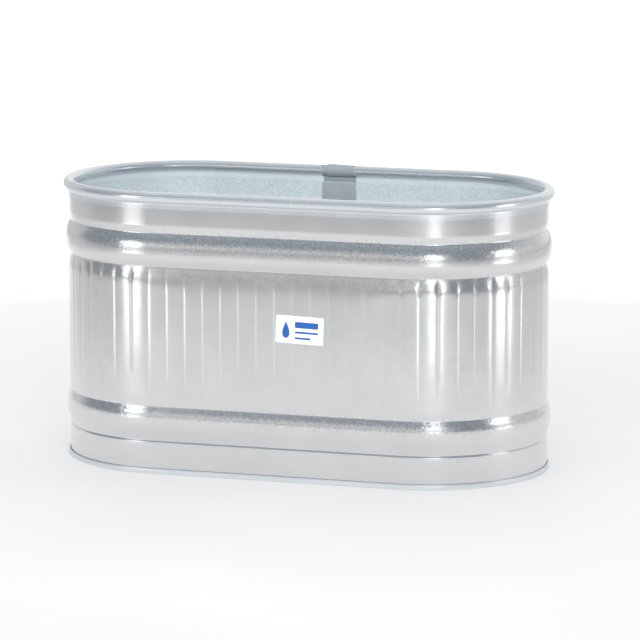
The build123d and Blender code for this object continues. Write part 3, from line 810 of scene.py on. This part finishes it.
PAINT = (0.30, 0.335, 0.37)
PAINT_EDGE = 1.2 * MM


def galvanised(name, tint=(0.725, 0.732, 0.738), rough=(0.17, 0.25), tilt=0.008, cell=0.0023, metal=1.0,
               contrast=0.012, paint=None, formed=None):
    """Zinc coat. paint: X of the painted band's ends. formed: tilt and contrast of the formed zones."""
    mat, tree, bsdf = new_material(name)
    coords = object_coords(tree)
    if formed:
        zone = formed_zone(tree, coords)
        tilt = mix_float(tree, zone, tilt, formed[0])
        contrast = mix_float(tree, zone, contrast, formed[1])
    normal, cells = spangle_normal(tree, coords, tilt, cell)
    cloud = noise(tree, coords, 9, 4.0, 0.55).outputs["Fac"]
    patch = noise(tree, coords, 60, 3.0, 0.6).outputs["Fac"]
    value = node(tree, "ShaderNodeSeparateColor")
    link(tree, cells, value.inputs[0])
    spread = math_node(tree, "SUBTRACT", value.outputs[0], 0.5)
    shade = math_node(tree, "MULTIPLY", spread, math_node(tree, "MULTIPLY", contrast, 2.0))
    shade = math_node(tree, "ADD", shade, 1.0)
    shade = math_node(tree, "MULTIPLY", shade, to_range(tree, cloud, 0.3, 0.7, 0.97, 1.02))
    color = vector_math(tree, "SCALE", tint, scale=shade)
    roughness = to_range(tree, patch, 0.3, 0.7, rough[0], rough[1])
    if paint:
        mask = zinc_paint_mask(tree, coords, paint[0], paint[1], PAINT_EDGE)
        color = mix_color(tree, mask, color, PAINT)
        roughness = mix_float(tree, mask, roughness, 0.55)
        metal = mix_float(tree, mask, metal, 0.15)
        face = node(tree, "ShaderNodeNewGeometry").outputs["Normal"]
        normal = mix(tree, "VECTOR", mask, normal, face)
    surface = {"Metallic": metal, "Base Color": color, "Roughness": roughness, "Normal": normal}
    for key, value in surface.items():
        fill(tree, bsdf.inputs[key], value)
    return mat


def zinc_paint():
    mat, tree, bsdf = new_material("zinc_paint")
    coords = object_coords(tree)
    cloud = noise(tree, coords, 35, 4.0, 0.6).outputs["Fac"]
    fine = noise(tree, coords, 700, 3.0, 0.6).outputs["Fac"]
    color = ramp(tree, cloud, [(0.3, (0.31, 0.34, 0.37)), (0.7, (0.35, 0.38, 0.41))])
    # bare metal rubbed through along the strap's right edge
    edge = to_range(tree, split_axes(tree, coords)[0], STRAP_HIGH[0] - 3.2 * MM, STRAP_HIGH[0] - 1.2 * MM,
                    0, 1, True)
    broken = noise(tree, coords, 130, 3.0).outputs["Fac"]
    worn = math_node(tree, "MULTIPLY", edge, to_range(tree, broken, 0.42, 0.56, 0, 1))
    rough = mix_float(tree, worn, to_range(tree, fine, 0.3, 0.7, 0.48, 0.62), 0.25)
    link(tree, mix_color(tree, worn, color, (0.74, 0.755, 0.77)), bsdf.inputs["Base Color"])
    link(tree, mix_float(tree, worn, 0.15, 1.0), bsdf.inputs["Metallic"])
    link(tree, rough, bsdf.inputs["Roughness"])
    add_bump(tree, bsdf, fine, 0.2, 0.0003)
    return mat


def soft_sheet(name, colors, rough, scale, fine_scale, strength, distance):
    """Non-metal with cloudy colour and roughness and a fine grain."""
    mat, tree, bsdf = new_material(name)
    coords = object_coords(tree)
    cloud = noise(tree, coords, scale, 4.0, 0.6).outputs["Fac"]
    link(tree, ramp(tree, cloud, [(0.3, colors[0]), (0.7, colors[1])]), bsdf.inputs["Base Color"])
    link(tree, to_range(tree, cloud, 0.3, 0.7, rough[0], rough[1]), bsdf.inputs["Roughness"])
    add_bump(tree, bsdf, noise(tree, coords, fine_scale).outputs["Fac"], strength, distance)
    return mat


def rubber(name, color, rough):
    colors = tuple(c * 0.8 for c in color), tuple(min(1, c * 1.25) for c in color)
    return soft_sheet(name, colors, (rough - 0.08, rough + 0.08), 160, 1500, 0.35, 0.0002)


def vinyl(name, color, rough, deep):
    colors = tuple(c * deep for c in color), color
    return soft_sheet(name, colors, (rough, rough + 0.1), 55, 900, 0.1, 0.0001)


def brass():
    """Dulled brass with turning marks about the drain's axis."""
    mat, tree, bsdf = new_material("brass")
    coords = object_coords(tree)
    cloud = noise(tree, coords, 90, 5.0, 0.6).outputs["Fac"]
    tones = [(0.25, (0.40, 0.27, 0.12)), (0.5, (0.66, 0.48, 0.21)), (0.75, (0.78, 0.60, 0.30))]
    link(tree, ramp(tree, cloud, tones), bsdf.inputs["Base Color"])
    bsdf.inputs["Metallic"].default_value = 1.0
    link(tree, to_range(tree, cloud, 0.25, 0.75, 0.42, 0.24), bsdf.inputs["Roughness"])
    x, _, z = split_axes(tree, coords)
    flat = node(tree, "ShaderNodeCombineXYZ")
    link(tree, x, flat.inputs[0])
    link(tree, z, flat.inputs[2])
    marks = node(tree, "ShaderNodeTexNoise", noise_dimensions="1D")
    marks.inputs["Scale"].default_value = 3800
    link(tree, vector_math(tree, "DISTANCE", flat.outputs[0], (DRAIN_X, 0, DRAIN_Z)), marks.inputs["W"])
    add_bump(tree, bsdf, marks.outputs["Fac"], 0.25, 0.00006)
    return mat


PAINTED = (-0.046, STRAP_HIGH[0])           # ends of the painted band on the rim
# rim and sleeve: the zinc's tint made bluer and lighter, with a diffuse share, painted light that lifts the
# rim's brightness
RIM_COAT_BRIGHTENED = dict(tint=(0.73, 0.76, 0.785), rough=(0.2, 0.28), tilt=0.02, metal=0.88, paint=PAINTED)
MATERIALS = {
    "wall": galvanised("galvanised_wall", formed=(0.07, 0.14)),
    # inner face: the same zinc with a lighter, bluer tint and mostly diffuse, a painted brightening for light
    # falling into the trough
    "inside": galvanised("galvanised_inside_painted_light", tint=(0.64, 0.705, 0.74), rough=(0.36, 0.48), tilt=0.1, metal=0.3,
                         contrast=0.12),
    "rim": galvanised("galvanised_rim_brightened", **RIM_COAT_BRIGHTENED),
    # inner lip: the same zinc with a lighter, bluer tint and mostly diffuse, a painted highlight, with the
    # painted band over it
    "lip": galvanised("galvanised_lip_painted_light", tint=(0.72, 0.78, 0.81), rough=(0.36, 0.48), tilt=0.05, metal=0.3,
                      contrast=0.05, paint=PAINTED),
    "pan": galvanised("galvanised_pan", tint=(0.70, 0.74, 0.76), rough=(0.3, 0.42), tilt=0.02, metal=0.7),
    "tube": galvanised("galvanised_tube", tint=(0.60, 0.61, 0.62), rough=(0.3, 0.45)),
    "sleeve": galvanised("galvanised_sleeve_brightened", **RIM_COAT_BRIGHTENED),
    "paint": zinc_paint(),
    "gasket": rubber("gasket_rubber", (0.035, 0.035, 0.038), 0.55),
    "sealant": rubber("seam_sealant", (0.36, 0.37, 0.38), 0.5),
    "brass": brass(),
    "label": vinyl("label_white", (0.93, 0.94, 0.95), 0.28, 0.97),
    "print": vinyl("label_blue", (0.016, 0.11, 0.40), 0.3, 0.88),
}


# ---------------------------------------------------------------- pieces
def install(obj, material, nodes=(), body="tank"):
    if material:
        obj.data.materials.clear()
        obj.data.materials.append(MATERIALS[material])
    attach(obj, body)
    if nodes:
        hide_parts(*nodes)
    return obj


def dress(node_name, material):
    """Give a carried-over CAD node its material."""
    materials = bpy.data.objects[node_name].data.materials
    if not materials:
        materials.append(MATERIALS[material])
    for i in range(len(materials)):
        materials[i] = MATERIALS[material]


def bore_wall(wall):
    """Cut the drain's round hole through the wall."""
    bpy.ops.mesh.primitive_cylinder_add(vertices=64, radius=17 * MM, depth=10 * MM,
                                        location=(DRAIN_X, FACE, DRAIN_Z), rotation=(math.pi / 2, 0, 0))
    cutter = bpy.context.object
    hole = wall.modifiers.new("hole", "BOOLEAN")
    hole.object = cutter
    hole.operation = "DIFFERENCE"
    hole.solver = "EXACT"
    bpy.context.view_layer.objects.active = wall
    bpy.ops.object.modifier_apply(modifier="hole")
    bpy.data.objects.remove(cutter)


wall = build_wall()
bore_wall(wall)
install(wall, None, ["side_wall"])
sharpen(wall, 60)

pan = build_pan()
install(pan, "pan", ["bottom_pan"])
sharpen(pan, 50)

rim = build_rim()
install(rim, None, ["rim_cap"])
sharpen(rim, 50)

sleeve = build_sleeve()
install(sleeve, "sleeve", ["rim_joint_sleeve"])
sharpen(sleeve, 50)

strap = build_strap()
install(strap, "paint", ["seam_strap"])
sharpen(strap, 50)

dress("bottom_seam_sealant", "sealant")
dress("rim_tube", "tube")
dress("rim_tube_spigot", "tube")

install(build_spud(), "brass", ["drain_spud"])
install(build_nut(), "brass", ["drain_locknut"])
for name, low, high, outer, inner, bulge, body in (
        ("drain_outer_gasket", GASKET_LOW, GASKET_HIGH, 22 * MM, 17 * MM, 0.35 * MM, "tank"),
        ("drain_inner_gasket", INNER_LOW, INNER_HIGH, 22 * MM, 17 * MM, 0.35 * MM, "tank"),
        ("drain_plug_washer", WASHER_LOW, WASHER_HIGH, 16.8 * MM, 13.7 * MM, 0.15 * MM, "plug_seal")):
    gasket = build_gasket(name + "_ring", low, high, outer, inner, bulge)
    install(gasket, "gasket", [name], body)
install(build_plug(), "brass", ["drain_plug"], "plug")

VINYL, INK = 0.2 * MM, 0.03 * MM            # thicknesses
BARS_LEFT = -12                             # mm from the label's middle
BARS = ((58, 15, 12), (58, 5, -6), (40, 5, -20))    # width, thickness and height of each bar, mm
outline = dense_outline(rounded_outline(LABEL_W, LABEL_H, 4 * MM), 2.5 * MM)
plate = label_patch("label_plate", outline, (0, 0), VINYL, 0.0, 22)
install(plate, "label", ["label"])
sharpen(plate, 50)
drop = label_patch("label_print_drop", drop_outline(21 * MM), (-34 * MM, 0), INK, VINYL, 6)
install(drop, "print")
for number, (width, thick, height) in enumerate(BARS):
    outline = dense_outline(rounded_outline(width * MM, thick * MM, min(thick / 2 - 0.1, 3) * MM), 2 * MM)
    centre = ((BARS_LEFT + width / 2) * MM, height * MM)
    bar = label_patch(f"label_print_bar_{number}", outline, centre, INK, VINYL, 5)
    install(bar, "print")


# ---------------------------------------------------------------- floor, light and camera
AZIMUTH, DISTANCE, EYE = 0.30176, 9.8376, 2.0479    # of the camera, from the middle of the tank
YAW, PITCH_DOWN, LENS = -0.00324, 0.1717, 230.064
FLOOR_REACH = 8.0                           # the floor's brightness changes within this distance
STRIP_DISTANCE = 2.6


def build_floor():
    """Pale studio floor that glows: its emission is painted light, brighter behind the object than in front as
    on a lit product sweep.
    """
    size = 60.0
    obj = new_mesh("floor", [(-size, -size, 0), (size, -size, 0), (size, size, 0), (-size, size, 0)],
                   [(0, 1, 2, 3)], False)
    mat, tree, bsdf = new_material("pale_floor_painted_glow")
    coords = object_coords(tree)
    cloud = noise(tree, coords, 1.5).outputs["Fac"]
    link(tree, ramp(tree, cloud, [(0.3, 0.31), (0.7, 0.33)]), bsdf.inputs["Base Color"])
    bsdf.inputs["Roughness"].default_value = 0.9
    bsdf.inputs["Specular IOR Level"].default_value = 0.1
    # painted light: in front, a glow round the object that falls off with distance
    reach = to_range(tree, vector_math(tree, "LENGTH", coords), 0, FLOOR_REACH, 0, 1)
    near = ramp(tree, reach, [(0.0, 0.45), (0.11, 0.46), (0.19, 0.50), (0.28, 0.46), (0.37, 0.36), (0.42, 0.33),
                              (0.56, 0.33), (0.78, 0.20)])
    # the painted bright strip behind widens with distance from the camera and fades to either side
    aside = vector_math(tree, "DOT_PRODUCT", coords, (math.cos(AZIMUTH), math.sin(AZIMUTH), 0))
    along = vector_math(tree, "DOT_PRODUCT", coords, (-math.sin(AZIMUTH), math.cos(AZIMUTH), 0))
    depth = math_node(tree, "ADD", along, DISTANCE)
    spread = math_node(tree, "DIVIDE", math_node(tree, "ABSOLUTE", aside), depth)
    wide = to_range(tree, spread, 0.1, 0.22, 0, 1, True)
    # straight behind, the glow is dimmer close to the object, a painted soft shadow
    middle = ramp(tree, reach, [(0.0, 0.5), (0.12, 0.52), (0.3, 0.6), (0.45, 0.9)])
    far = mix_color(tree, wide, middle, (0.42, 0.42, 0.42))
    behind = to_range(tree, split_axes(tree, coords)[1], -1.2, 0.6, 0, 1, True)
    link(tree, mix_color(tree, behind, near, far), bsdf.inputs["Emission Color"])
    bsdf.inputs["Emission Strength"].default_value = 1.0
    obj.data.materials.append(mat)
    obj.location.z = -0.0003


build_floor()


def area(name, location, target, size, power, mirrored=True):
    light = bpy.data.lights.new(name, "AREA")
    light.shape = "RECTANGLE"
    light.size, light.size_y = size
    light.energy = power
    obj = bpy.data.objects.new(name, light)
    obj.location = location
    obj.visible_glossy = mirrored
    direction = Vector(target) - Vector(location)
    obj.rotation_euler = direction.to_track_quat("-Z", "Y").to_euler()
    bpy.context.scene.collection.objects.link(obj)
    return obj


def strip(name, azimuth, width, low, high, radiance):
    """Tall soft light on end, at an azimuth from the front."""
    a = math.radians(azimuth)
    location = (math.sin(a) * STRIP_DISTANCE, -math.cos(a) * STRIP_DISTANCE, (low + high) / 2)
    tall = high - low
    area(name, location, (0, 0, location[2]), (width, tall), radiance * math.pi * width * tall)


for side, turn, wide, bright in (("left", -38.5, 0.75, 2.0), ("front", 28, 0.46, 2.2), ("right", 87, 0.7, 2.0)):
    for part, low, high, share in (("low", 0.0, 0.16, 1), ("middle", 0.16, 0.6, 0.2), ("high", 0.6, 1.3, 1)):
        strip(f"strip_{part}_{side}", turn, wide, low, high, share * bright)
area("overhead", (0, 0, 4.2), (0, 0, 0), (5, 5), 0.9 * math.pi * 25, False)
area("basin", (0, -1.7, 1.75), (0, 0.29, 0.6), (1.6, 0.6), 6 * math.pi * 0.96, False)
area("fill", (2.0, -5.0, 2.6), (0, 0, 0.4), (3, 3), 5.5 * math.pi * 9, False)
area("fill_back", (-2.0, 5.0, 2.8), (0, 0, 0.4), (3, 3), 2.5 * math.pi * 9, False)

world = bpy.data.worlds.new("studio")
bpy.context.scene.world = world
world.use_nodes = True
tree = world.node_tree
background = tree.nodes["Background"]
toward = split_axes(tree, node(tree, "ShaderNodeTexCoord").outputs["Generated"])


def by_height(stops):
    """Colour of the room for each sine of the height angle."""
    height = to_range(tree, toward[2], -0.1, 1, 0, 1)
    return ramp(tree, height, [((sine + 0.1) / 1.1, color) for sine, color in stops])


front = by_height([(-0.05, (0.38, 0.385, 0.39)), (0.0, (0.45, 0.46, 0.47)), (0.09, (0.70, 0.71, 0.72)),
                   (0.17, (0.76, 0.77, 0.78)), (0.31, (0.50, 0.52, 0.54)), (0.45, (0.35, 0.39, 0.43)),
                   (0.58, (0.40, 0.44, 0.48)), (0.70, (0.52, 0.56, 0.59)), (1.0, (0.66, 0.69, 0.72))])
sides = by_height([(-0.05, (0.40, 0.395, 0.39)), (0.02, (0.34, 0.35, 0.36)), (0.12, (0.28, 0.31, 0.34)),
                   (0.60, (0.32, 0.36, 0.40)), (0.88, (0.52, 0.56, 0.60)), (1.0, (0.66, 0.69, 0.72))])
back = by_height([(-0.05, 0.72), (0.30, (0.66, 0.67, 0.68)), (0.60, (0.52, 0.54, 0.57)),
                  (0.88, (0.60, 0.63, 0.66)), (1.0, (0.66, 0.69, 0.72))])
back_middle = by_height([(-0.05, 0.95), (0.60, 0.92), (0.88, (0.75, 0.77, 0.80)), (1.0, (0.66, 0.69, 0.72))])
facing = to_range(tree, toward[1], -0.93, -0.70, 1, 0, True)
behind = to_range(tree, toward[1], 0.0, 0.35, 0, 1, True)
straight_back = to_range(tree, math_node(tree, "ABSOLUTE", toward[0]), 0.3, 0.6, 1, 0, True)
ahead = mix_color(tree, facing, sides, front)
rear = mix_color(tree, straight_back, back, back_middle)
link(tree, mix_color(tree, behind, ahead, rear), background.inputs["Color"])
background.inputs["Strength"].default_value = 1.0

cam_data = bpy.data.cameras.new("camera")
cam_data.sensor_width = 36
cam_data.lens = LENS
cam_data.dof.use_dof = False
cam_data.clip_end = 200
camera = bpy.data.objects.new("camera", cam_data)
camera.location = (math.sin(AZIMUTH) * DISTANCE, -math.cos(AZIMUTH) * DISTANCE, EYE)
heading, level = AZIMUTH + YAW, math.cos(PITCH_DOWN)
forward = Vector((-math.sin(heading) * level, math.cos(heading) * level, -math.sin(PITCH_DOWN)))
camera.rotation_euler = forward.to_track_quat("-Z", "Y").to_euler()
bpy.context.scene.collection.objects.link(camera)
bpy.context.scene.camera = camera
bpy.context.scene.view_settings.view_transform = "Standard"
